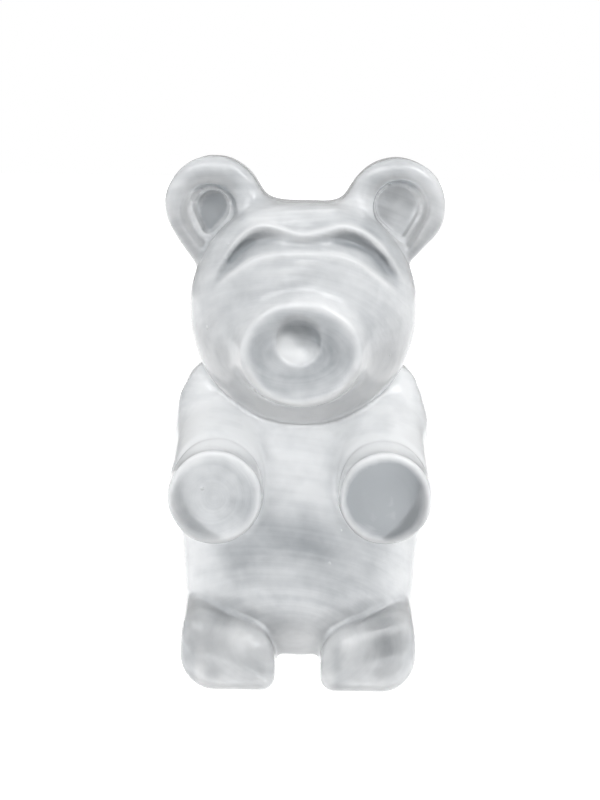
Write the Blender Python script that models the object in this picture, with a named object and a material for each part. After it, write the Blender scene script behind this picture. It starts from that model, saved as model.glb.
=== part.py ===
"""A gummy bear: one solid piece of clear set jelly, cast face down in a starch mould.

Metres, +Z up. The bear stands on the flat soles of its feet at Z = 0 and faces -Y. The origin is
on the ground, in the middle of its width and depth. Sizes below are in millimetres and are turned
into metres where they are used. The left and right halves mirror each other in X.

The masses of the bear (head, muzzle, ears, torso, belly, arms, feet) are separate closed shapes in
one mesh. A voxel remesh melts them into one skin, the hollows of the face and ears are cut from
it, and a second remesh with smoothing gives every edge the soft round of cast jelly.
"""

import math

import bmesh
import bpy
from mathutils import Matrix, Vector

MM = 0.001
SIDES = (-1, 1)

# Depths along Y: the flat back is where the mould was open, the rest faces the viewer.
BACK_Y = 4.5
SNOUT_Y = -4.5
PAW_Y = -4.2
TOE_Y = -4.2

# Head: a ball whose front is a little flatter, run straight back to the open side of the mould.
HEAD_Z = 15.2
HEAD_WIDEST_Y = 0.6
HEAD_RADIUS = 4.79
HEAD_FRONT_RADIUS = 4.2

# Muzzle: a broad cone from the cheeks to a flat oval, with a round pit for the nose.
MUZZLE_ROOT_Y = -0.6
MUZZLE_ROOT_Z = 14.6
MUZZLE_ROOT_RADII = (3.7, 3.0)
MUZZLE_END_Z = 13.85
MUZZLE_END_RADII = (2.3, 2.05)
MUZZLE_EDGE_ROUND = 0.3
NOSE_Z = 14.35
NOSE_RADIUS = 0.85
NOSE_DEPTH = 0.6

# Ears: thick round discs on a neck that narrows down to the head, each with a hollow in front.
EAR_CENTRE = (3.78, 19.72)
EAR_RADIUS = 2.07
EAR_ROOT = (2.62, 16.9)
EAR_ROOT_RADIUS = 1.5
EAR_FRONT_Y = 0.3
EAR_EDGE_ROUND = 0.8
CUP_TOP = (3.87, 19.6)
CUP_TOP_RADIUS = 1.12
CUP_FOOT = (3.4, 18.0)
CUP_FOOT_RADIUS = 0.5
CUP_PROFILE = ((-0.4, 1.25), (0.0, 1.0), (0.5, 0.85), (1.0, 0.5))

# Eyes: one long groove in two arches, shallow over the bridge of the nose and deep at each eye.
ARCH_X = 1.4
ARCH_Z = 18.3
BRIDGE_Z = 18.15
ARCH_FALL = 0.28
GROOVE_END_X = 3.9
GROOVE_POINTS = 41
BRIDGE_RADIUS = 0.42
EYE_X = 2.6
EYE_REACH = 1.9
EYE_RADIUS = 0.78
EYE_SINK = 0.3

# Torso: D-shaped sections, each (height, half width, front Y), from the crotch to the neck.
TORSO_SECTIONS = (
    (1.0, 4.5, -0.8),
    (3.3, 4.78, -1.4),
    (5.2, 5.09, -1.6),
    (8.0, 5.28, -1.3),
    (10.3, 5.32, -0.8),
    (11.9, 5.05, 0.3),
    (12.9, 4.4, 0.9),
    (13.3, 3.6, 1.2),
)
TORSO_WIDEST_Y = 2.0
TORSO_FRONT_POWER = 2.3
TORSO_BACK_POWER = 7.0
TORSO_RINGS = 24
RING_POINTS = 64

BELLY_CENTRE = (0.0, 0.5, 3.9)
BELLY_RADII = (4.68, 3.75, 2.75)

# Arms: tapered limbs from the shoulders, forward and down to round paws with flat ends.
SHOULDER_CENTRE = (3.25, 1.5, 10.0)
SHOULDER_RADIUS = 2.1
PAW_CENTRE = (3.42, -3.0, 7.96)
PAW_RADIUS = 1.95
PAW_EDGE_ROUND = 0.3

# Feet: blocks with rounded corners from the heels to flat toes. Tops are (inner, outer) heights.
FOOT_INNER_X = 0.93
FOOT_OUTER_X = 4.82
INNER_CORNER = 0.5
OUTER_CORNER = 1.5
TOE_TOPS = (1.75, 2.8)
INSTEP_Y = -2.1
INSTEP_TOPS = (1.65, 3.35)
HEEL_TOPS = (1.65, 3.8)
TOP_CORNER = 0.9
TOE_ROUND = 0.5
TOE_OUTER_DRAW_IN = 0.6
TOE_INNER_DRAW_IN = 0.18
TOE_LIFT = 0.25
TOE_STEPS = 5
CORNER_STEPS = 8

# Finish of the casting.
BACK_DISH_DEPTH = 0.22
BACK_DISH_CENTRE_Z = 10.4
BACK_DISH_RADII = (3.9, 8.6)
VOXEL = 0.15
CUTTER_VOXEL = 0.12
SOFTEN_STEPS = 14
FEWER_FACES = 0.09
SOLE_TRIM = 0.06
BLOCK_SIDES = (20, 50, 4)

JELLY_COLOUR = (0.82, 0.84, 0.86, 1.0)
JELLY_ROUGHNESS = 0.25


def metres(point):
    """A point or size in millimetres, as a vector in metres."""
    return Vector(point) * MM


def add_ball(bm, centre, radii, segments=48, rings=24):
    """Adds an ellipsoid with the given half sizes along X, Y and Z."""
    place = Matrix.Translation(metres(centre)) @ Matrix.Diagonal((*metres(radii), 1.0))
    bmesh.ops.create_uvsphere(
        bm, u_segments=segments, v_segments=rings, radius=1.0, matrix=place
    )


def add_hull(bm, points):
    """Adds the convex hull of points given in millimetres."""
    corners = [bm.verts.new(metres(point)) for point in points]
    hull = bmesh.ops.convex_hull(bm, input=corners)
    spare = {item for item in hull["geom_interior"] if isinstance(item, bmesh.types.BMVert)}
    bmesh.ops.delete(bm, geom=list(spare), context="VERTS")


def sphere_points(centre, radius, segments=28, rings=14):
    """Points spread over a sphere, for a hull."""
    found = []
    for ring in range(rings + 1):
        polar = math.pi * ring / rings
        for step in range(segments):
            turn = math.tau * step / segments
            x = centre[0] + radius * math.sin(polar) * math.cos(turn)
            y = centre[1] + radius * math.sin(polar) * math.sin(turn)
            found.append((x, y, centre[2] + radius * math.cos(polar)))
    return found


def disc_points(centre, radii, y, segments=56):
    """Points on an ellipse that faces along Y, at depth y. centre and radii are (X, Z)."""
    found = []
    for step in range(segments):
        turn = math.tau * step / segments
        x = centre[0] + radii[0] * math.cos(turn)
        found.append((x, y, centre[1] + radii[1] * math.sin(turn)))
    return found


def add_rings(bm, rings):
    """Joins closed rings of points into a tube and caps both its ends."""
    loops = [[bm.verts.new(metres(point)) for point in ring] for ring in rings]
    for lower, upper in zip(loops, loops[1:]):
        for i in range(len(lower)):
            j = (i + 1) % len(lower)
            bm.faces.new((lower[i], lower[j], upper[j], upper[i]))
    bm.faces.new(reversed(loops[0]))
    bm.faces.new(loops[-1])


def signed_power(value, power):
    """A power of the value's size, with the value's sign."""
    return math.copysign(abs(value) ** power, value)


def blended(stations, height):
    """The rest of a station at this height: a smooth curve through the stations."""
    above = next((i for i, s in enumerate(stations) if s[0] >= height), len(stations) - 1)
    i = max(above - 1, 0)
    before, low = stations[max(i - 1, 0)], stations[i]
    high, after = stations[i + 1], stations[min(i + 2, len(stations) - 1)]
    span = high[0] - low[0]
    t = (height - low[0]) / span
    found = []
    for k in range(1, len(low)):
        slope_low = (high[k] - before[k]) / (high[0] - before[0]) * span
        slope_high = (after[k] - low[k]) / (after[0] - low[0]) * span
        found.append(
            (2 * t**3 - 3 * t**2 + 1) * low[k]
            + (t**3 - 2 * t**2 + t) * slope_low
            + (3 * t**2 - 2 * t**3) * high[k]
            + (t**3 - t**2) * slope_high
        )
    return found


def rounded_end(centre, radii, y, edge, steps=6):
    """Ellipses that close a limb with a flat end at depth y and a quarter-round edge."""
    found = []
    for step in range(steps + 1):
        turn = 0.5 * math.pi * step / steps
        inset = edge * (1 - math.cos(turn))
        reach = (radii[0] - inset, radii[1] - inset)
        found += disc_points(centre, reach, y + edge * (1 - math.sin(turn)))
    return found


def add_head(bm):
    """A ball in front of its widest ring, and a straight drum behind it."""
    centre, radii = (0.0, HEAD_Z), (HEAD_RADIUS, HEAD_RADIUS)
    ball_radii = (HEAD_RADIUS, HEAD_FRONT_RADIUS, HEAD_RADIUS)
    add_ball(bm, (0.0, HEAD_WIDEST_Y, HEAD_Z), ball_radii, 64, 32)
    add_hull(bm, disc_points(centre, radii, HEAD_WIDEST_Y) + disc_points(centre, radii, BACK_Y))


def add_muzzle(bm):
    """A cone that narrows to the flat end of the snout."""
    points = disc_points((0.0, MUZZLE_ROOT_Z), MUZZLE_ROOT_RADII, MUZZLE_ROOT_Y)
    end = (0.0, MUZZLE_END_Z)
    add_hull(bm, points + rounded_end(end, MUZZLE_END_RADII, SNOUT_Y, MUZZLE_EDGE_ROUND))


def add_ears(bm):
    """Each ear is the hull of a large ring and a small one, drawn in at its front edge."""
    for side in SIDES:
        points = []
        for (x, z), radius in ((EAR_CENTRE, EAR_RADIUS), (EAR_ROOT, EAR_ROOT_RADIUS)):
            centre = (side * x, z)
            points += disc_points(centre, (radius, radius), BACK_Y)
            points += rounded_end(centre, (radius, radius), EAR_FRONT_Y, EAR_EDGE_ROUND)
        add_hull(bm, points)


def add_torso(bm):
    """Rings that are round in front of the widest line and nearly square behind it."""
    low, high = TORSO_SECTIONS[0][0], TORSO_SECTIONS[-1][0]
    rings = []
    for step in range(TORSO_RINGS + 1):
        z = low + (high - low) * step / TORSO_RINGS
        half_width, front_y = blended(TORSO_SECTIONS, z)
        ring = []
        for point in range(RING_POINTS):
            turn = math.tau * point / RING_POINTS
            front = math.sin(turn) < 0
            power = TORSO_FRONT_POWER if front else TORSO_BACK_POWER
            depth = TORSO_WIDEST_Y - front_y if front else BACK_Y - TORSO_WIDEST_Y
            x = half_width * signed_power(math.cos(turn), 2 / power)
            y = TORSO_WIDEST_Y + depth * signed_power(math.sin(turn), 2 / power)
            ring.append((x, y, z))
        rings.append(ring)
    add_rings(bm, rings)


def add_belly(bm):
    """A wide low ball that swells out over the feet."""
    add_ball(bm, BELLY_CENTRE, BELLY_RADII, 64, 32)


def add_arms(bm):
    """Each arm is a tapered limb with round ends, and a drum that gives the paw its flat end."""
    for side in SIDES:
        x, y, z = SHOULDER_CENTRE
        points = sphere_points((side * x, y, z), SHOULDER_RADIUS)
        x, y, z = PAW_CENTRE
        points += sphere_points((side * x, y, z), PAW_RADIUS)
        foremost = PAW_Y + PAW_EDGE_ROUND
        add_hull(bm, [(px, max(py, foremost), pz) for px, py, pz in points])
        centre, radii = (side * x, z), (PAW_RADIUS, PAW_RADIUS)
        drum = disc_points(centre, radii, y)
        add_hull(bm, drum + rounded_end(centre, radii, PAW_Y, PAW_EDGE_ROUND))


def foot_outline(side, y, tops, draw_in=0.0):
    """The upright outline of a foot at depth y, with its four corners as quarter circles.

    draw_in runs from 0 to 1 and pulls the outline in towards the flat of the toes.
    """
    low = TOE_LIFT * draw_in
    inner = FOOT_INNER_X + TOE_INNER_DRAW_IN * draw_in
    outer = FOOT_OUTER_X - TOE_OUTER_DRAW_IN * draw_in
    inner_top, outer_top = (top - TOE_LIFT * draw_in for top in tops)
    corners = (
        (outer - TOP_CORNER, outer_top - TOP_CORNER, TOP_CORNER),
        (inner + INNER_CORNER, inner_top - INNER_CORNER, INNER_CORNER),
        (inner + INNER_CORNER, low + INNER_CORNER, INNER_CORNER),
        (outer - OUTER_CORNER, low + OUTER_CORNER, OUTER_CORNER),
    )
    found = []
    for quarter, (x, z, radius) in enumerate(corners):
        for step in range(CORNER_STEPS + 1):
            turn = 0.5 * math.pi * (quarter + step / CORNER_STEPS)
            found.append((side * (x + radius * math.cos(turn)), y, z + radius * math.sin(turn)))
    return found


def add_feet(bm):
    """Each foot is the hull of its outlines at the toes, the instep and the heel."""
    for side in SIDES:
        points = foot_outline(side, BACK_Y, HEEL_TOPS) + foot_outline(side, INSTEP_Y, INSTEP_TOPS)
        for step in range(TOE_STEPS + 1):
            turn = 0.5 * math.pi * step / TOE_STEPS
            y = TOE_Y + TOE_ROUND * (1 - math.sin(turn))
            points += foot_outline(side, y, TOE_TOPS, 1 - math.cos(turn))
        add_hull(bm, points)


def add_groove(bm):
    """A chain of balls' hulls along the two arches of the eyes, just under the brow."""
    bridge_fall = (ARCH_Z - BRIDGE_Z) / ARCH_X**2
    places = []
    for step in range(GROOVE_POINTS):
        x = GROOVE_END_X * (2 * step / (GROOVE_POINTS - 1) - 1)
        off = abs(x) - ARCH_X
        z = ARCH_Z - (ARCH_FALL if off > 0 else bridge_fall) * off**2
        out = math.sqrt(max(0.0, 1 - (x**2 + (z - HEAD_Z) ** 2) / HEAD_RADIUS**2))
        away = min(1.0, abs(abs(x) - EYE_X) / EYE_REACH)
        eye = 0.5 + 0.5 * math.cos(math.pi * away)
        radius = BRIDGE_RADIUS + (EYE_RADIUS - BRIDGE_RADIUS) * eye
        places.append(((x, HEAD_WIDEST_Y - HEAD_FRONT_RADIUS * out + EYE_SINK * eye, z), radius))
    for (start, r0), (end, r1) in zip(places, places[1:]):
        add_hull(bm, sphere_points(start, r0, 16, 8) + sphere_points(end, r1, 16, 8))


def add_cups(bm):
    """The hollow of each ear: a wide round top, drawn down to a narrow foot.

    CUP_PROFILE holds (depth behind the ear's front, share of the radius) pairs.
    """
    for side in SIDES:
        points = []
        for (x, z), radius in ((CUP_TOP, CUP_TOP_RADIUS), (CUP_FOOT, CUP_FOOT_RADIUS)):
            for depth, share in CUP_PROFILE:
                reach = (radius * share, radius * share)
                points += disc_points((side * x, z), reach, EAR_FRONT_Y + depth, 32)
        add_hull(bm, points)


def add_nose(bm):
    """The round pit of the nose."""
    add_ball(bm, (0.0, SNOUT_Y, NOSE_Z), (NOSE_RADIUS, NOSE_DEPTH, NOSE_RADIUS), 32, 16)


def add_back_dish(bm):
    """The shallow hollow that the jelly sinks to as it dries, on the open side of the mould."""
    x, z = BACK_DISH_RADII
    add_ball(bm, (0.0, BACK_Y, BACK_DISH_CENTRE_Z), (x, BACK_DISH_DEPTH, z), 64, 32)


def add_block(bm, centre, sides):
    """A box with the given centre and full side lengths."""
    place = Matrix.Translation(metres(centre)) @ Matrix.Diagonal((*metres(sides), 1.0))
    bmesh.ops.create_cube(bm, size=1.0, matrix=place)


def add_ground(bm):
    """A block whose top trims the soles to one flat plane."""
    x, y, z = BLOCK_SIDES
    add_block(bm, (0, 0, SOLE_TRIM - 0.5 * z), (x, y, z))


def add_scraper(bm):
    """A block that strikes the back off flat."""
    x, z, y = BLOCK_SIDES
    add_block(bm, (0, BACK_Y + 0.5 * y, 0.5 * z), (x, y, z))


def new_object(name, build, cutter=False):
    """An object whose mesh the build function fills with closed shapes, faces pointing out."""
    bm = bmesh.new()
    for step in build:
        step(bm)
    bmesh.ops.recalc_face_normals(bm, faces=bm.faces)
    mesh = bpy.data.meshes.new(name)
    bm.to_mesh(mesh)
    bm.free()
    obj = bpy.data.objects.new(name, mesh)
    bpy.context.scene.collection.objects.link(obj)
    if cutter:
        obj.hide_render = True
        obj.display_type = "WIRE"
    return obj


def remesh(obj, voxel):
    """Melts the overlapping shapes of an object into one closed skin."""
    modifier = obj.modifiers.new("melt together", "REMESH")
    modifier.mode = "VOXEL"
    modifier.voxel_size = voxel * MM
    modifier.use_smooth_shade = True


def boolean(obj, other, operation):
    modifier = obj.modifiers.new(other.name, "BOOLEAN")
    modifier.operation = operation
    modifier.object = other


def jelly():
    """Clear, faintly cool jelly with a soft gloss."""
    material = bpy.data.materials.new("clear jelly")
    material.use_nodes = True
    shader = material.node_tree.nodes["Principled BSDF"]
    shader.inputs["Base Color"].default_value = JELLY_COLOUR
    shader.inputs["Roughness"].default_value = JELLY_ROUGHNESS
    return material


def main():
    for obj in list(bpy.data.objects):
        bpy.data.objects.remove(obj)
    bear = new_object(
        "bear",
        (add_head, add_muzzle, add_ears, add_torso, add_belly, add_arms, add_feet),
    )
    hollows = new_object("hollows", (add_groove, add_cups, add_nose, add_back_dish), True)
    remesh(hollows, CUTTER_VOXEL)
    scraper = new_object("scraper", (add_scraper,), True)
    ground = new_object("ground", (add_ground,), True)
    remesh(bear, VOXEL)
    boolean(bear, scraper, "DIFFERENCE")
    boolean(bear, hollows, "DIFFERENCE")
    remesh(bear, VOXEL)
    soften = bear.modifiers.new("soften", "SMOOTH")
    soften.factor = 0.5
    soften.iterations = SOFTEN_STEPS
    thin = bear.modifiers.new("fewer faces", "DECIMATE")
    thin.ratio = FEWER_FACES
    boolean(bear, ground, "DIFFERENCE")
    bear.location.z = -SOLE_TRIM * MM
    ground.location.z = -SOLE_TRIM * MM
    bear.data.materials.append(jelly())


main()
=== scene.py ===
"""The looks of one clear gummy bear: a single casting of set jelly, standing on its flat soles.

Lengths in the sections of the bear are in millimetres, as a confectioner would gauge them, and
become metres where the mesh is made. X is to the right, the face looks along -Y, Z is up.
"""

import bpy
import numpy as np
from mathutils import Matrix, Vector


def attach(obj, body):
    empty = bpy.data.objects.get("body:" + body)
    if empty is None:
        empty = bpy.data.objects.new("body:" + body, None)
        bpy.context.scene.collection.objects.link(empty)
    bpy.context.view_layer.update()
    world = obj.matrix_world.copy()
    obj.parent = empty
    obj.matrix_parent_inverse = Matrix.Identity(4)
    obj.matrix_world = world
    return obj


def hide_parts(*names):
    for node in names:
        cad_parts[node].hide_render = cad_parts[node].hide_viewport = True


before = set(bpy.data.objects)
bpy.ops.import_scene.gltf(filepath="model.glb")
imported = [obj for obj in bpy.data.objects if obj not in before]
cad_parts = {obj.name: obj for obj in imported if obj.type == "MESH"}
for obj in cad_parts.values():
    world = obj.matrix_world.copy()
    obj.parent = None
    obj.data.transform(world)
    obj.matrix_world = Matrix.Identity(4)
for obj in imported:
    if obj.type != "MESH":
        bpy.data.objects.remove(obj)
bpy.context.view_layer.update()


# ---------------------------------------------------------------------------------------------
# The head. In the mould it is a round ball in front and a straight drum behind, with the crown
# pressed nearly flat between the ears. It is the same jelly as the rest, poured in one go.
# Every mass below is a depth function of three arrays: below 0 inside the jelly, above 0 outside.

HEAD_Z = 15.45
HEAD_RADIUS = 4.75
JOWL_STRETCH = 1.06
HEAD_WIDEST_Y = 0.6
HEAD_FRONT_DEPTH = 4.2
CROWN_Z = 19.86


def joined(a, b, fillet):
    """The lesser of two depths, less a cubic bump of the given reach where they nearly agree."""
    near = np.maximum(fillet - np.abs(a - b), 0.0) / fillet
    return np.minimum(a, b) - near**3 * fillet / 6.0


def trimmed(a, b, fillet):
    """What lies inside both a and b: the greater depth, with its edge rounded by fillet."""
    return -joined(-a, -b, fillet)


def rounded(a, b, radius):
    """What lies inside both a and b, with the edge between them an arc of the given radius."""
    p, q = np.maximum(a + radius, 0.0), np.maximum(b + radius, 0.0)
    return np.minimum(np.maximum(a, b), -radius) + np.hypot(p, q)


def eased(value, start, end):
    """0 before start and 1 after end, by the cubic 3t^2 - 2t^3 between them."""
    t = np.clip((value - start) / (end - start), 0.0, 1.0)
    return t * t * (3.0 - 2.0 * t)


def head(x, y, z):
    """Distance from a sphere: Y is stretched in front and ignored behind, Z below is squeezed."""
    ahead = np.minimum(y - HEAD_WIDEST_Y, 0.0) * HEAD_RADIUS / HEAD_FRONT_DEPTH
    above = z - HEAD_Z
    above = np.where(above < 0.0, above / JOWL_STRETCH, above)
    ball = np.sqrt(x**2 + above**2 + ahead**2) - HEAD_RADIUS
    return trimmed(ball + eye_relief(x, z), z - CROWN_Z, 0.8)


# ---------------------------------------------------------------------------------------------
# The eyes. One groove runs under the brow in two arches: a shallow crease over the bridge of the
# muzzle and a socket at each eye. A socket's floor stands upright between the steep wall under
# the brow and the ramp that comes out to the cheek.

BROW_Z = (18.48, 18.82)
BROW_PEAK_X = 1.6
BROW_FALL = (0.5, 0.34)
CHEEK_Z = 17.9
CHEEK_BEND_X = 1.95
CHEEK_SLOPE = 0.86
SOCKET_END_X = (3.75, 4.15)
BRIDGE_DEPTH = 0.16
SOCKET_DEPTH = 0.45


def eye_lines(x, z):
    """Height above the cheek line as a share of the way to the brow line, and both lines.

    The brow line is a cubic between the peaks and a parabola outside them. The cheek line is
    level, then falls steadily, with the bend between the two spread over a millimetre and a half.
    """
    side = np.abs(x)
    fall = np.where(x < 0.0, *BROW_FALL)
    inner = BROW_Z[0] + (BROW_Z[1] - BROW_Z[0]) * eased(side, 0.0, BROW_PEAK_X)
    brow = np.where(side < BROW_PEAK_X, inner, BROW_Z[1] - fall * (side - BROW_PEAK_X) ** 2)
    past = side - CHEEK_BEND_X
    cheek = CHEEK_Z - CHEEK_SLOPE * 0.5 * (past + np.sqrt(past**2 + 0.5))
    return (z - cheek) / np.maximum(brow - cheek, 0.3), brow, cheek


def eye_ends(x):
    """1 along the groove, easing to 0 at its outer ends."""
    reach = np.where(x < 0.0, *SOCKET_END_X)
    return 1.0 - eased(np.abs(x), reach - 1.3, reach + 0.1)


def eye_relief(x, z):
    """Depth of the groove: a ramp up from the cheek line, a floor, then a steep wall at the brow.

    Thin bell-shaped ridges stand on the brow line, on the cheek line and across the forehead.
    """
    share, brow, cheek = eye_lines(x, z)
    side = np.abs(x)
    section = joined(share / 0.45, (1.0 - share) / 0.36, 0.35)
    section = np.maximum(joined(section, np.ones_like(section), 0.35), 0.0)
    deep = BRIDGE_DEPTH + (SOCKET_DEPTH - BRIDGE_DEPTH) * eased(side, 0.6, 1.9)
    ridge = 0.07 * np.exp(-(((z - brow - 0.14) / 0.13) ** 2))
    ridge = ridge + 0.06 * np.exp(-(((z - cheek) / 0.13) ** 2))
    forehead = 0.02 * np.exp(-(((z - 19.08) / 0.09) ** 2)) * (1.0 - eased(side, 1.2, 2.4))
    return eye_ends(x) * (deep * section - ridge) - forehead


# ---------------------------------------------------------------------------------------------
# The muzzle. A broad cone grows out of the cheeks and ends in a flat oval, and the nose is a
# round pit pressed into it, a little off the middle.

MUZZLE_ROOT = (-0.6, 14.6, 3.7, 3.0)
MUZZLE_END = (-4.5, 13.82, 2.36, 2.08)
MUZZLE_OFF_X = -0.06
MUZZLE_EDGE = 0.28
NOSE_AT = (-0.17, -4.6, 14.38)
NOSE_RADII = (0.9, 0.9, 0.9)


def ellipsoid(x, y, z, centre, radii):
    """Depth below an ellipsoid: its scaled radius less 1, over the length of its slope."""
    p = [(v - c) / r for v, c, r in zip((x, y, z), centre, radii)]
    scaled = np.sqrt(sum(v**2 for v in p))
    slope = np.sqrt(sum((v / r) ** 2 for v, r in zip(p, radii)))
    return scaled * (scaled - 1.0) / np.maximum(slope, 1e-6)


def muzzle(x, y, z):
    """An oval cone: centre height and both radii run straight from root to end along Y."""
    share = np.clip((MUZZLE_ROOT[0] - y) / (MUZZLE_ROOT[0] - MUZZLE_END[0]), 0.0, 1.2)
    middle, wide, tall = (
        a + (b - a) * share for a, b in zip(MUZZLE_ROOT[1:], MUZZLE_END[1:])
    )
    p, q = (x - MUZZLE_OFF_X) / wide, (z - middle) / tall
    scaled = np.sqrt(p**2 + q**2)
    cone = scaled * (scaled - 1.0) / np.maximum(np.sqrt((p / wide) ** 2 + (q / tall) ** 2), 1e-6)
    cone = rounded(0.93 * cone, MUZZLE_END[0] - y, MUZZLE_EDGE)
    return trimmed(cone, y - 1.0, 0.3)


def nose_pit(x, y, z):
    """The ellipsoid of the fingertip-shaped pit."""
    return ellipsoid(x, y, z, NOSE_AT, NOSE_RADII)


# ---------------------------------------------------------------------------------------------
# The ears. Each is a thick round disc whose outline narrows to the head, with a rounded rim and
# a deep drop-shaped hollow that is wide at the top and pinched at the foot.

LEFT_EAR = ((3.83, 19.67, 2.02), (2.58, 16.9, 1.45))
RIGHT_EAR = ((3.86, 19.7, 2.02), (2.35, 16.8, 1.05))
EAR_FRONT_Y = 0.3
EAR_RIM = 0.8
LEFT_BOWL = ((3.97, 19.35, 1.25), (4.12, 18.05, 0.3))
RIGHT_BOWL = ((4.0, 19.68, 1.2), (4.25, 18.2, 0.3))
LEFT_FLOOR = ((3.86, 19.66, 0.58), (4.01, 18.75, 0.08))
RIGHT_FLOOR = ((3.8, 19.72, 0.8), (3.98, 18.65, 0.1))
BOWL_DEPTH = 1.0


def drop(x, z, top, foot):
    """Depth inside the outline of two circles (x, z, radius) and their common tangents."""
    ax, az = top[0] - foot[0], top[1] - foot[1]
    length = np.hypot(ax, az)
    along = ((x - foot[0]) * ax + (z - foot[1]) * az) / length
    across = np.abs((x - foot[0]) * az - (z - foot[1]) * ax) / length
    lean = (foot[2] - top[2]) / length
    upright = np.sqrt(1.0 - lean**2)
    turned = -lean * across + upright * along
    side = across * upright + along * lean - foot[2]
    low = np.hypot(across, along) - foot[2]
    high = np.hypot(across, along - length) - top[2]
    return np.where(turned < 0.0, low, np.where(turned > upright * length, high, side))


def either_side(x, z, left, right):
    """The drop outline of whichever ear is on this side."""
    return np.where(x < 0.0, drop(-x, z, *left), drop(x, z, *right))


def bowl_share(x, z):
    """0 at the bowl's rim and 1 at its floor, by the distances to both outlines."""
    rim = np.maximum(-either_side(x, z, LEFT_BOWL, RIGHT_BOWL), 0.0)
    floor_edge = np.maximum(either_side(x, z, LEFT_FLOOR, RIGHT_FLOOR), 0.0)
    return rim / (rim + floor_edge + 1e-9)


def bowl(x, z):
    """How far the bowl is sunk: from its rim in to its floor there is a wall, a lip, a wall."""
    share = bowl_share(x, z)
    lip = np.exp(-(((share - 0.62) / 0.1) ** 2))
    inner = np.where(x < 0.0, 0.4, 0.2)
    steps = (1.0 - inner) * eased(share, 0.0, 0.55) + inner * eased(share, 0.66, 1.0)
    return BOWL_DEPTH * steps - 0.18 * lip


def ears(x, y, z):
    """The drop outline run along Y: its front is sunk by the bowl and its rim is an arc."""
    outline = either_side(x, z, LEFT_EAR, RIGHT_EAR)
    return rounded(outline, EAR_FRONT_Y + bowl(x, z) - y, EAR_RIM)


# ---------------------------------------------------------------------------------------------
# The trunk. Shoulders, chest and hips are one D-shaped body, round in front and square behind,
# and the belly is a wide low ball that swells out of it over the feet.

TRUNK_STATIONS = np.array(
    [
        (1.0, 4.45, -0.9),
        (2.6, 4.66, -2.2),
        (4.2, 4.88, -2.85),
        (6.0, 5.12, -2.75),
        (8.0, 5.24, -2.05),
        (10.0, 5.24, -1.05),
        (11.9, 5.0, 0.2),
        (12.9, 4.3, 0.9),
        (13.3, 3.5, 1.2),
    ]
)
TRUNK_WIDEST_Y = 2.0
BACK_Y = 4.5
BELLY_CENTRE = (0.0, 0.5, 3.9)
BELLY_RADII = (4.68, 3.75, 2.75)


def smooth_between(height, stations, column):
    """A cubic through the stations' values: each slope is that of the chord past its station."""
    at, value = stations[:, 0], stations[:, column]
    slope = np.gradient(value, at)
    i = np.clip(np.searchsorted(at, height) - 1, 0, len(at) - 2)
    span = at[i + 1] - at[i]
    t = np.clip((height - at[i]) / span, 0.0, 1.0)
    rise = value[i + 1] - value[i]
    ease = t * t * (3.0 - 2.0 * t)
    lead = t * (1.0 - t) ** 2 * slope[i] - t * t * (1.0 - t) * slope[i + 1]
    return value[i] + rise * ease + span * lead


def trunk(x, y, z):
    """A superellipse at each height: power 2.3 in front of the widest line, 7 behind it."""
    half = smooth_between(z, TRUNK_STATIONS, 1)
    front = smooth_between(z, TRUNK_STATIONS, 2)
    ahead = y < TRUNK_WIDEST_Y
    reach = np.where(ahead, TRUNK_WIDEST_Y - front, BACK_Y - TRUNK_WIDEST_Y)
    power = np.where(ahead, 2.3, 7.0)
    p, q = np.abs(x) / half, np.abs(y - TRUNK_WIDEST_Y) / reach
    scaled = (p**power + q**power) ** (1.0 / power)
    side = (scaled - 1.0) * np.minimum(half, reach)
    ends = np.maximum(TRUNK_STATIONS[0, 0] - z, z - TRUNK_STATIONS[-1, 0])
    return trimmed(side, ends, 0.4)


def belly(x, y, z):
    """The ball of the belly."""
    return ellipsoid(x, y, z, BELLY_CENTRE, BELLY_RADII)


# ---------------------------------------------------------------------------------------------
# The arms. Each is a stubby limb that comes forward and down from the shoulder and ends in a
# round paw with a flat face, as the mould's punch leaves it.

SHOULDER = (3.2, 1.5, 10.0)
SHOULDER_RADIUS = 2.05
PAW_Z = (8.0, 8.06)
PAW_START_Y = -3.0
PAW_X = (3.47, 3.45)
PAW_RADII = (1.9, 1.86)
PAW_Y = -4.2
PAW_EDGE = 0.26
CUFF_Y = -2.5
CUFF_DEPTH = 0.06


def arms(x, y, z):
    """A thread with a straight change of radius from shoulder to paw, joined to a short drum.

    A bell-shaped groove runs around the limb behind the paw, as if under a cuff.
    """
    side = np.abs(x)
    paw_x, paw_z, paw_radius = (np.where(x < 0.0, *pair) for pair in (PAW_X, PAW_Z, PAW_RADII))
    run = (paw_x - SHOULDER[0], PAW_START_Y - SHOULDER[1], paw_z - SHOULDER[2])
    offset = (side - SHOULDER[0], y - SHOULDER[1], z - SHOULDER[2])
    length = sum(r * r for r in run)
    share = np.clip(sum(o * r for o, r in zip(offset, run)) / length, 0.0, 1.0)
    away = np.sqrt(sum((o - share * r) ** 2 for o, r in zip(offset, run)))
    limb = away - (SHOULDER_RADIUS + (paw_radius - SHOULDER_RADIUS) * share)
    drum = np.hypot(side - paw_x, z - paw_z) - paw_radius
    drum = np.maximum(drum, y - PAW_START_Y - 0.8)
    groove = CUFF_DEPTH * np.exp(-(((y - CUFF_Y) / 0.2) ** 2))
    return rounded(joined(limb, drum, 0.3) + groove, PAW_Y - y, PAW_EDGE)


# ---------------------------------------------------------------------------------------------
# The feet. Two boots with big round outer corners run from the heels to flat toes, and their
# tops fall towards the inside, so that the belly meets them in a shallow V.

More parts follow.
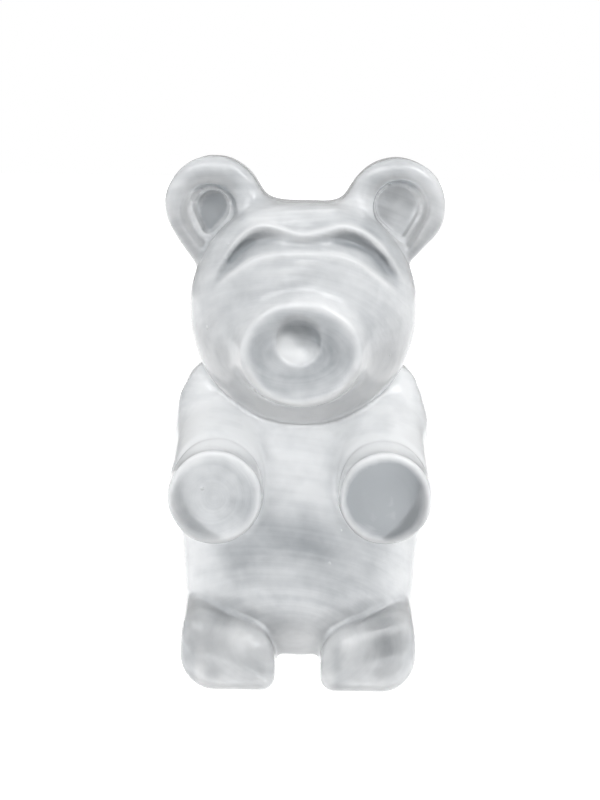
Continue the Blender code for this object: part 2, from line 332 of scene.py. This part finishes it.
FOOT_INNER_X = 0.93
FOOT_OUTER_X = 4.79
FOOT_STATIONS = np.array([(-4.2, 1.55, 2.75), (-3.1, 2.2, 3.35), (-2.0, 2.3, 3.6), (4.5, 2.3, 3.9)])
TOE_Y = -4.2
INNER_CORNER = 0.6
INNER_TOP_CORNER = 1.1
OUTER_CORNER = 1.42
TOP_CORNER = 1.0
TOE_EDGE = 0.85


def feet(x, y, z):
    """Planes for the sole, both sides, the sloping top and the toes, rounded where they meet."""
    side = np.abs(x)
    inner_top = smooth_between(y, FOOT_STATIONS, 1)
    outer_top = smooth_between(y, FOOT_STATIONS, 2)
    grade = (outer_top - inner_top) / (FOOT_OUTER_X - FOOT_INNER_X)
    top = (z - inner_top - grade * (side - FOOT_INNER_X)) / np.sqrt(1.0 + grade**2)
    outside = rounded(side - FOOT_OUTER_X, -z, OUTER_CORNER)
    outside = rounded(outside, top, TOP_CORNER)
    inside = rounded(FOOT_INNER_X - side, top, INNER_TOP_CORNER)
    inside = rounded(inside, -z, INNER_CORNER)
    return rounded(np.maximum(outside, inside), TOE_Y - y, TOE_EDGE)


# ---------------------------------------------------------------------------------------------
# The casting. The masses run together in soft joins, crisp under the chin and broad at the
# shoulders. The face and ears are pressed in, the soles are flat, and the open side of the mould
# leaves a flat back whose surface has sunk a little as the jelly dried.

BACK_SINK = 0.26
BACK_EDGE = 0.5


def masses(x, y, z):
    """All the masses of the bear joined into one, before anything is pressed in."""
    body = joined(trunk(x, y, z), belly(x, y, z), 0.9)
    body = joined(body, feet(x, y, z), 0.5)
    body = joined(body, arms(x, y, z), 0.7)
    skull = joined(head(x, y, z), muzzle(x, y, z), 0.9)
    skull = joined(skull, ears(x, y, z), 0.3 + 1.3 * eased(z, 18.8, 19.9))
    return joined(body, skull, 0.22)


def marks(x, y, z):
    """Raised smears across the bridge of the muzzle and the crown, and one arc on the belly.

    Each is a bell across its line and another, wider one along it.
    """
    bridge = ((-0.45, 17.2, 0.8, 0.14), (0.15, 17.5, 0.7, 0.1), (-0.6, 16.85, 0.5, 0.1))
    crown = ((-0.9, 19.36, 1.5, 0.07), (0.6, 19.54, 1.7, 0.07), (-0.2, 19.2, 1.3, 0.06))
    raised = sum(
        0.055 * np.exp(-(((x - mid) / wide) ** 2) - ((z - level - 0.07 * x) / thin) ** 2)
        for mid, level, wide, thin in bridge + crown
    )
    arc = 0.035 * np.exp(-(((z - 5.7 + 0.16 * x * x) / 0.09) ** 2) - (x / 1.7) ** 4)
    return (raised + arc) * eased(-y, 0.5, 1.5)


def ripples(x, y, z):
    """Slow waves that drying leaves in the skin: three crossed sines of a few hundredths."""
    return (
        0.012 * np.sin(2.1 * x + 1.3 * z + 0.4) * np.cos(1.7 * z - 0.9 * y)
        + 0.008 * np.sin(3.7 * z + 1.1 * x * y * 0.2 + 1.9)
        + 0.006 * np.cos(4.3 * x - 2.2 * z + 2.0 * y)
    )


def bear(x, y, z):
    """The masses with the face and ears pressed in, trimmed by the sole and the sunken back."""
    body = masses(x, y, z)
    body = trimmed(body, -nose_pit(x, y, z), 0.42)
    inside = np.clip(-masses(x, np.full_like(y, 3.2), z) / 2.2, 0.0, 1.0)
    sink = BACK_SINK * inside * inside * (3.0 - 2.0 * inside)
    body = trimmed(body, y - BACK_Y + sink, BACK_EDGE)
    return body + (ripples(x, y, z) - marks(x, y, z)) * eased(z, 0.0, 0.6)


def unpinched(value):
    """The grid with no cell face inside at one diagonal and outside at the other.

    Such faces would pinch the skin along an edge, so their outer corners are put just inside.
    """
    for _ in range(6):
        for first, second in ((0, 1), (1, 2), (2, 0)):
            view = np.moveaxis(value, (first, second), (0, 1))
            corners = (view[:-1, :-1], view[1:, :-1], view[:-1, 1:], view[1:, 1:])
            a, b, c, d = (corner < 0.0 for corner in corners)
            pinch = (a == d) & (b == c) & (a != b)
            for corner in corners:
                corner[pinch & (corner >= 0.0)] = -1e-4
    return value


def skin(depth, low, high, step):
    """The zero surface of a depth function as a net of quads, one corner in each mixed cell.

    The function is read on a grid. A cell whose corners lie on both sides gets one vertex at the
    mean of the crossings of its edges, and each grid edge that crosses the skin gives one quad
    of the four cells around it. The vertices are then evened out and slid onto the zero surface
    along the slope of the function.
    """
    axes = [np.arange(a, b + step, step) for a, b in zip(low, high)]
    value = unpinched(depth(*np.meshgrid(*axes, indexing="ij")))
    shape = np.array(value.shape)
    cells = shape - 1
    total = np.zeros((*cells, 3))
    count = np.zeros(cells)
    quads = []
    for axis in range(3):
        u, v = (axis + 1) % 3, (axis + 2) % 3
        start = [slice(None)] * 3
        start[axis] = slice(0, -1)
        end = list(start)
        end[axis] = slice(1, None)
        first, last = value[tuple(start)], value[tuple(end)]
        crossed = np.argwhere((first < 0.0) != (last < 0.0))
        a, b = first[tuple(crossed.T)], last[tuple(crossed.T)]
        place = crossed.astype(float)
        place[:, axis] += a / (a - b)
        ring = []
        for du, dv in ((0, 0), (-1, 0), (-1, -1), (0, -1)):
            cell = crossed.copy()
            cell[:, u] += du
            cell[:, v] += dv
            np.add.at(total, tuple(cell.T), place)
            np.add.at(count, tuple(cell.T), 1.0)
            ring.append(np.ravel_multi_index(tuple(cell.T), cells))
        ring = np.stack(ring, axis=1)
        quads.append(np.where((a < 0.0)[:, None], ring, ring[:, ::-1]))
    quads = np.concatenate(quads)
    used, quads = np.unique(quads, return_inverse=True)
    quads = quads.reshape(-1, 4)
    total, count = total.reshape(-1, 3)[used], count.ravel()[used]
    points = np.array(low) + step * total / count[:, None]
    return points, quads


def slid(points, depth, reach):
    """Each point moved along the slope of the depth function by its depth over that slope."""
    shift = reach * np.eye(3)
    slope = np.stack(
        [depth(*(points + s).T) - depth(*(points - s).T) for s in shift], axis=1
    ) / (2.0 * reach)
    steep = np.maximum((slope**2).sum(axis=1), 0.05)
    return points - slope * (depth(*points.T) / steep)[:, None]


def evened(points, quads):
    """Each point halfway to the mean of its neighbours along the edges of the quads."""
    total, count = np.zeros_like(points), np.zeros(len(points))
    for turn in (1, -1):
        other = np.roll(quads, turn, axis=1)
        np.add.at(total, quads.ravel(), points[other.ravel()])
        np.add.at(count, quads.ravel(), 1.0)
    return 0.5 * points + 0.5 * total / count[:, None]


NET_LOW = (-6.2, -4.9, -0.3)
NET_HIGH = (6.2, 4.8, 22.1)
NET_STEP = 0.125

points, quads = skin(bear, NET_LOW, NET_HIGH, NET_STEP)
for _ in range(3):
    points = evened(slid(points, bear, 0.02), quads)
for _ in range(2):
    points = slid(points, bear, 0.02)

mesh = bpy.data.meshes.new("bear_jelly")
mesh.from_pydata((points / 1000.0).tolist(), [], quads.tolist())
mesh.polygons.foreach_set("use_smooth", np.ones(len(quads), dtype=bool))
mesh.update()
bear_jelly = bpy.data.objects.new("bear_jelly", mesh)
bpy.context.scene.collection.objects.link(bear_jelly)


def curvature(points, depth, reach):
    """How sharply the skin bends outward: the sum of the second differences along X, Y and Z."""
    bend = sum(depth(*(points + s).T) + depth(*(points - s).T) for s in reach * np.eye(3))
    return (bend - 6.0 * depth(*points.T)) / reach**2


def pressed(x, y, z):
    """Painted shade on faces turned to the camera and in recesses: paw ends, snout, sockets,
    the top wall of the nostril and the toes, where the colour goes down to dark clear jelly.

    Each is 1 inside its outline and eases to 0 at its edge, times how strong its shade is.
    """
    side = np.abs(x)
    paw_x, paw_z, paw_radius = (np.where(x < 0.0, *pair) for pair in (PAW_X, PAW_Z, PAW_RADII))
    paw = eased(paw_radius - 0.1 - np.hypot(side - paw_x, z - paw_z), 0.0, 0.3)
    # Painted highlight: a crescent near the lower right edge of the right paw is spared the shade.
    corner = 0.6 * (x - paw_x) - 0.8 * (z - paw_z)
    paw = paw * (1.0 - 0.8 * eased(corner, 1.35, 1.6) * (x > 0.0))
    # The right paw's end gets more painted shade than the left's.
    paw = paw * eased(-y, 3.9, 4.1) * np.where(x < 0.0, 0.5, 0.92)
    # Painted shade on the snout's flat end, outside the nose pit.
    snout = 1.0 - np.hypot((x - MUZZLE_OFF_X) / MUZZLE_END[2], (z - MUZZLE_END[1]) / MUZZLE_END[3])
    snout = 0.7 * eased(snout, 0.08, 0.13) * eased(-y, 4.1, 4.35)
    # Painted shade in the eye sockets, strongest in the left socket's outer half and the right's inner
    # half.
    share = eye_lines(x, z)[0]
    socket = eased(share, 0.35, 0.6) * (1.0 - eased(share, 0.85, 1.0)) * eye_ends(x) ** 0.5
    socket = socket * eased(side, 0.9, 1.6) * eased(-y, 0.4, 1.2)
    left, right = 0.6 + 0.4 * eased(side, 1.7, 2.5), 1.0 - 0.4 * eased(side, 2.2, 3.4)
    socket = socket * np.where(x < 0.0, left, right)
    # Painted shadow on the upper wall inside the nose pit.
    inside = eased(-nose_pit(x, y, z), -0.12, 0.02)
    shade = inside * eased(0.92 * (z - NOSE_AT[2]) + 0.4 * (x - NOSE_AT[0]), -0.1, 0.35)
    # Painted shade on the front of the toes, towards their outer sides.
    toe = 0.3 * eased(z, 0.9, 1.5) * (1.0 - eased(z, 2.7, 3.2)) * eased(-y, 2.2, 3.2)
    toe = toe * eased(side, 2.4, 3.8)
    return np.maximum.reduce([paw, snout * (1.0 - inside), socket, 0.85 * shade, toe])


def ear_painted_light(x, y, z):
    """Painted shade on an ear's floor and under its top rim, painted highlights on lip and walls."""
    share = bowl_share(x, z)
    front = eased(-y, -2.6, -2.2)
    # Painted shade on the bowl's floor, stronger in the left ear.
    floor = np.where(x < 0.0, 1.0, 0.6) * eased(share, 0.86, 0.98)
    high = eased(0.8 * (z - 19.4) - 0.5 * (np.abs(x) - 4.0), 0.1, 0.7)
    # Painted shadow in a band under the top rim.
    painted_rim_shadow = 0.9 * eased(share, 0.04, 0.18) * (1.0 - eased(share, 0.45, 0.56)) * high
    # Painted highlights on the walls and on the lip.
    white = 0.6 * eased(share, 0.05, 0.2) * (1.0 - high) + 0.6 * eased(share, 0.5, 0.6) * high
    return (0.72 + front * white) * (1.0 - front * np.maximum(floor, painted_rim_shadow))


def depths(x, y, z):
    """The depth functions of head, ears, arms, trunk and feet, one row each."""
    skull = np.minimum(head(x, y, z), muzzle(x, y, z))
    body = np.minimum(trunk(x, y, z), belly(x, y, z))
    return np.stack([skull, ears(x, y, z), arms(x, y, z), body, feet(x, y, z)])


def belongs(x, y, z):
    """How much each mass owns a point of the skin: e to the minus depth over 0.4, summing to 1."""
    near = depths(x, y, z)
    weight = np.exp(-(near - near.min(axis=0)) / 0.4)
    return weight / weight.sum(axis=0)


def painted_light_and_shade(x, y, z):
    """Painted light and shade on each mass, as milkier or clearer jelly,
    blended by how much it owns the point.

    The trunk is lighter in the chest and under the belly and darker where the belly is thickest.
    """
    middle = np.hypot(x / 4.2, (z - 4.9) / 2.9)
    # Painted shade on the front of the belly, painted light on the chest and under the belly.
    body = 0.45 + 0.5 * eased(middle, 0.3, 1.1)
    # Painted shade at the trunk's outer sides.
    body = body - 0.45 * eased(np.abs(x), 4.3, 5.0)
    # Painted highlight across the top of the muzzle.
    skull = 0.66 + 0.12 * np.exp(-(((z - 16.6) / 1.3) ** 2)) * eased(-y, 1.5, 3.0)
    # Painted light under the chin, where there is shade, and on the crown.
    skull = skull + 0.45 * eased(-z, -13.6, -12.0) + 0.2 * eased(z, 18.8, 19.6)
    # Painted highlights along the brow and cheek lines and on the raised smears.
    brow, cheek = eye_lines(x, z)[1:]
    lines = np.exp(-(((z - brow - 0.14) / 0.13) ** 2)) + np.exp(-(((z - cheek) / 0.13) ** 2))
    skull = skull + 0.5 * lines * eye_ends(x) * eased(-y, 0.0, 0.8) + 10.0 * marks(x, y, z)
    # Painted highlight on the lower wall of the nose pit.
    light = eased(0.7 * (NOSE_AT[2] - z) + 0.7 * (NOSE_AT[0] - x), -0.15, 0.35)
    skull = skull + 0.9 * eased(-nose_pit(x, y, z), -0.08, 0.04) * light
    # Painted light and shade on the feet: lighter at the sole, a bright line down the left toe, painted
    # shade on the left foot's outer side and in a line on the right foot.
    low = 1.0 - eased(z, 1.8, 2.4)
    foot = 1.0 - 0.3 * eased(z, 0.3, 1.0)
    foot = foot + low * (0.5 * np.exp(-(((x + 3.95) / 0.15) ** 2)) - 0.25 * eased(-x, 4.1, 4.3))
    foot = foot - 0.35 * low * np.exp(-(((x - 1.6) / 0.22) ** 2))
    # The arms are lighter towards their tops, as painted light.
    painted_tones = np.stack([skull, ear_painted_light(x, y, z), 0.8 + 0.35 * eased(z, 8.8, 10.0), body, foot])
    return (painted_tones * belongs(x, y, z)).sum(axis=0)


flat = points.T
bend = curvature(points, bear, 0.22)
# Painted highlights on convex rims and painted shade in concave creases, by how sharply the skin bends.
edges = 0.22 * eased(bend, 0.4, 4.0) - 0.2 * eased(-bend, 0.1, 2.5)
in_ear = belongs(*flat)[1]
# All the painted light and shade, taken down where the painted shade of faces and recesses falls.
milk_and_painted_light = painted_light_and_shade(*flat) + edges * (1.0 - 0.7 * in_ear)
milk_and_painted_light = (np.clip(milk_and_painted_light, 0.0, 1.3) * (1.0 - pressed(*flat)))[:, None]
for _ in range(3):
    milk_and_painted_light = evened(milk_and_painted_light, quads)
mesh.attributes.new("milk_and_painted_light", "FLOAT", "POINT").data.foreach_set("value", milk_and_painted_light[:, 0].astype(np.float32))
skull, ear, arm, body, foot = belongs(*flat)
owner = np.stack([skull + ear, arm, body + foot], axis=1)
mesh.attributes.new("owner", "FLOAT_VECTOR", "POINT").data.foreach_set(
    "vector", owner.astype(np.float32).ravel()
)

jelly = bpy.data.materials.new("clear_jelly")
jelly.use_nodes = True
tree = jelly.node_tree
shader = tree.nodes["Principled BSDF"]


def add(kind, sockets=None, **settings):
    """A node in tree, the material or world being made: sockets are linked, plain values set."""
    node = tree.nodes.new(kind)
    for key, value in settings.items():
        setattr(node, key, value)
    for key, value in (sockets or {}).items():
        if isinstance(value, bpy.types.NodeSocket):
            tree.links.new(value, node.inputs[key])
        else:
            node.inputs[key].default_value = value
    return node


def scaled(value, low, high, new_low, new_high):
    """A value carried from one range to another by the cubic 3t^2 - 2t^3, held at both ends."""
    names = ("Value", "From Min", "From Max", "To Min", "To Max")
    given = dict(zip(names, (value, low, high, new_low, new_high)))
    return add("ShaderNodeMapRange", given, interpolation_type="SMOOTHSTEP").outputs[0]


def summed(*values):
    """The sum of several sockets."""
    total = values[0]
    for value in values[1:]:
        total = add("ShaderNodeMath", {0: total, 1: value}, operation="ADD").outputs[0]
    return total


place = add("ShaderNodeTexCoord").outputs["Object"]
milk_and_painted_light_in = add("ShaderNodeAttribute", attribute_name="milk_and_painted_light").outputs["Fac"]
owner = add("ShaderNodeAttribute", attribute_name="owner").outputs["Vector"]


def rings(centre, squeeze):
    """Noise drawn out in rings about an axis along Y: fine across the rings, slow along them.

    The ring is the length of (X, Z) less the centre, with X squeezed; X is folded to one side.
    """
    folded = add("ShaderNodeVectorMath", {0: place}, operation="ABSOLUTE").outputs[0]
    off = add("ShaderNodeVectorMath", {0: folded, 1: centre}, operation="SUBTRACT").outputs[0]
    flat = add("ShaderNodeVectorMath", {0: off, 1: squeeze}, operation="MULTIPLY").outputs[0]
    ring = add("ShaderNodeVectorMath", {0: flat}, operation="LENGTH").outputs["Value"]
    slow = add("ShaderNodeVectorMath", {0: place, "Scale": 350.0}, operation="SCALE").outputs[0]
    many = add("ShaderNodeMath", {0: ring, 1: 3000.0}, operation="MULTIPLY").outputs[0]
    fine = add("ShaderNodeCombineXYZ", {"X": many}).outputs[0]
    both = add("ShaderNodeVectorMath", {0: slow, 1: fine}, operation="ADD").outputs[0]
    marks = {"Vector": both, "Scale": 1.0, "Detail": 4.0, "Roughness": 0.55}
    return add("ShaderNodeTexNoise", marks).outputs["Fac"]


drawn = add(
    "ShaderNodeCombineXYZ",
    {
        "X": rings((0.0, 0.0, 0.0139), (0.6, 0.0, 1.0)),
        "Y": rings((0.00346, 0.0, 0.008), (1.0, 0.0, 1.0)),
        "Z": rings((0.0, 0.0, 0.002), (0.6, 0.0, 1.0)),
    },
).outputs[0]
moulded = scaled(add("ShaderNodeSeparateXYZ", {0: place}).outputs["Y"], 0.0034, 0.0042, 1.0, 0.15)
streaks = add("ShaderNodeVectorMath", {0: drawn, 1: owner}, operation="DOT_PRODUCT").outputs["Value"]
streaks = add("ShaderNodeMix", {0: moulded, 2: 0.5, 3: streaks}).outputs[0]
clouds = add("ShaderNodeTexNoise", {"Vector": place, "Scale": 420.0, "Detail": 3.0}).outputs["Fac"]
bloom = add("ShaderNodeTexNoise", {"Vector": place, "Scale": 2600.0, "Detail": 3.0}).outputs["Fac"]
cells = add("ShaderNodeTexVoronoi", {"Vector": place, "Scale": 800.0})
chosen = add("ShaderNodeMath", {0: cells.outputs["Color"], 1: 0.62}, operation="GREATER_THAN")
speck = add(
    "ShaderNodeMath",
    {0: scaled(cells.outputs["Distance"], 0.03, 0.07, 1.0, 0.0), 1: chosen.outputs[0]},
    operation="MULTIPLY",
).outputs[0]
# Painted light and shade from the mesh, with streaks, clouds, bloom and specks of random tone.
skin_tone = summed(
    milk_and_painted_light_in,
    scaled(streaks, 0.25, 0.75, -0.13, 0.09),
    scaled(clouds, 0.25, 0.75, -0.36, 0.18),
    scaled(bloom, 0.3, 0.7, -0.03, 0.03),
    scaled(speck, 0.0, 1.0, 0.0, 0.25),
)
# Dark clear jelly where shade is painted, pale milkier jelly where light is painted.
tone = add(
    "ShaderNodeMix",
    {0: skin_tone, 6: (0.235, 0.258, 0.28, 1.0), 7: (0.912, 0.926, 0.938, 1.0)},
    data_type="RGBA",
)
tree.links.new(tone.outputs[2], shader.inputs["Base Color"])
tree.links.new(scaled(skin_tone, 0.0, 1.0, 0.29, 0.4), shader.inputs["Roughness"])
waves = add("ShaderNodeTexNoise", {"Vector": place, "Scale": 850.0, "Detail": 2.0}).outputs["Fac"]
relief = summed(scaled(streaks, 0.0, 1.0, 0.0, 0.3), scaled(bloom, 0.0, 1.0, 0.0, 0.2), waves, speck)
bump = add("ShaderNodeBump", {"Height": relief, "Distance": 0.00006, "Strength": 0.6})
tree.links.new(bump.outputs[0], shader.inputs["Normal"])
shader.inputs["IOR"].default_value = 1.42
shader.inputs["Transmission Weight"].default_value = 0.75
shader.inputs["Subsurface Weight"].default_value = 0.9
shader.inputs["Subsurface Radius"].default_value = (1.0, 1.0, 1.0)
shader.inputs["Subsurface Scale"].default_value = 0.002
shader.inputs["Coat Weight"].default_value = 1.0
shader.inputs["Coat Roughness"].default_value = 0.14
mesh.materials.append(jelly)

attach(bear_jelly, "root")
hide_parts("bear")


# ---------------------------------------------------------------------------------------------
# The floor. A wide sheet of white opal plastic, lit from below like a light table, so that light
# comes up into the soles, the belly and the chin and nothing throws a shadow.

FLOOR_HALF = 1.0

mesh = bpy.data.meshes.new("floor")
corners = [(i * FLOOR_HALF, j * FLOOR_HALF, 0.0) for i, j in ((-1, -1), (1, -1), (1, 1), (-1, 1))]
mesh.from_pydata(corners, [], [(0, 1, 2, 3)])
mesh.update()
floor = bpy.data.objects.new("floor", mesh)
bpy.context.scene.collection.objects.link(floor)
opal = bpy.data.materials.new("white_opal")
opal.use_nodes = True
shader = opal.node_tree.nodes["Principled BSDF"]
shader.inputs["Base Color"].default_value = (0.2, 0.2, 0.2, 1.0)
shader.inputs["Roughness"].default_value = 0.9
shader.inputs["Specular IOR Level"].default_value = 0.1
shader.inputs["Emission Color"].default_value = (1.0, 1.0, 1.0, 1.0)
shader.inputs["Emission Strength"].default_value = 1.12
mesh.materials.append(opal)


# ---------------------------------------------------------------------------------------------
# The lights. The room is a white tent with a dim opening in front and a dimmer patch straight
# behind, so faces turned to the front stay greyer than the rounded edges. Strips above and at
# both sides put the thin bright lines on the rims, a little stronger from the right.


def soft_box(name, place, size, watts):
    """An area light at a place, turned so that its face looks at the middle of the bear."""
    light = bpy.data.lights.new(name, "AREA")
    light.shape = "RECTANGLE"
    light.size, light.size_y = size
    light.energy = watts
    box = bpy.data.objects.new(name, light)
    box.location = place
    box.rotation_mode = "QUATERNION"
    box.rotation_quaternion = (Vector((0.0, 0.0, 0.011)) - box.location).to_track_quat("-Z", "Y")
    box.visible_camera = False
    bpy.context.scene.collection.objects.link(box)


soft_box("top_light", (-0.02, -0.06, 0.17), (0.12, 0.07), 0.06)
soft_box("left_crown_light", (-0.1, -0.02, 0.17), (0.08, 0.08), 0.05)
soft_box("right_crown_light", (0.1, -0.02, 0.17), (0.08, 0.08), 0.065)
soft_box("left_light", (-0.19, -0.03, 0.07), (0.03, 0.12), 0.006)
soft_box("right_light", (0.19, -0.03, 0.07), (0.03, 0.12), 0.013)

world = bpy.data.worlds.new("white_tent")
world.use_nodes = True
tree = world.node_tree
towards = add("ShaderNodeTexCoord").outputs["Generated"]
aside, along, above = add("ShaderNodeSeparateXYZ", {0: towards}).outputs
opening = scaled(along, -0.92, 0.1, 0.4, 0.94)
patch = scaled(along, 0.4, 0.95, 1.0, 0.6)
lean = scaled(aside, -1.0, 1.0, 0.55, 1.0)
roof = scaled(above, 0.2, 0.9, 0.97, 1.25)
strength = opening
for factor in (patch, lean, roof):
    strength = add("ShaderNodeMath", {0: strength, 1: factor}, operation="MULTIPLY").outputs[0]
tent = tree.nodes["Background"]
tent.inputs["Color"].default_value = (1.0, 1.0, 1.0, 1.0)
tree.links.new(strength, tent.inputs["Strength"])
plain = add("ShaderNodeBackground", {"Color": (1.0, 1.0, 1.0, 1.0), "Strength": 1.0}).outputs[0]
seen = add("ShaderNodeLightPath").outputs["Is Camera Ray"]
mixed = add("ShaderNodeMixShader", {0: seen, 1: tent.outputs[0], 2: plain}).outputs[0]
tree.links.new(mixed, tree.nodes["World Output"].inputs["Surface"])
bpy.context.scene.world = world
bpy.context.scene.view_settings.view_transform = "Standard"


# ---------------------------------------------------------------------------------------------
# The camera. It stands close in front of the bear and looks down at it by six degrees.

AIM = Vector((-0.00008, 0.0, 0.0116))
CAMERA_DISTANCE = 0.11
CAMERA_ELEVATION = np.radians(6.0)
CAMERA_ROLL = np.radians(0.9)
CAMERA_LENS = 157.92

camera_data = bpy.data.cameras.new("camera")
camera_data.sensor_fit = "HORIZONTAL"
camera_data.sensor_width = 36.0
camera_data.lens = CAMERA_LENS
camera_data.clip_start = 0.005
camera = bpy.data.objects.new("camera", camera_data)
back = Vector((0.0, -np.cos(CAMERA_ELEVATION), np.sin(CAMERA_ELEVATION)))
turn = (-back).to_track_quat("-Z", "Y").to_matrix() @ Matrix.Rotation(CAMERA_ROLL, 3, "Z")
camera.location = AIM + back * CAMERA_DISTANCE
camera.rotation_mode = "QUATERNION"
camera.rotation_quaternion = turn.to_quaternion()
bpy.context.scene.collection.objects.link(camera)
bpy.context.scene.camera = camera
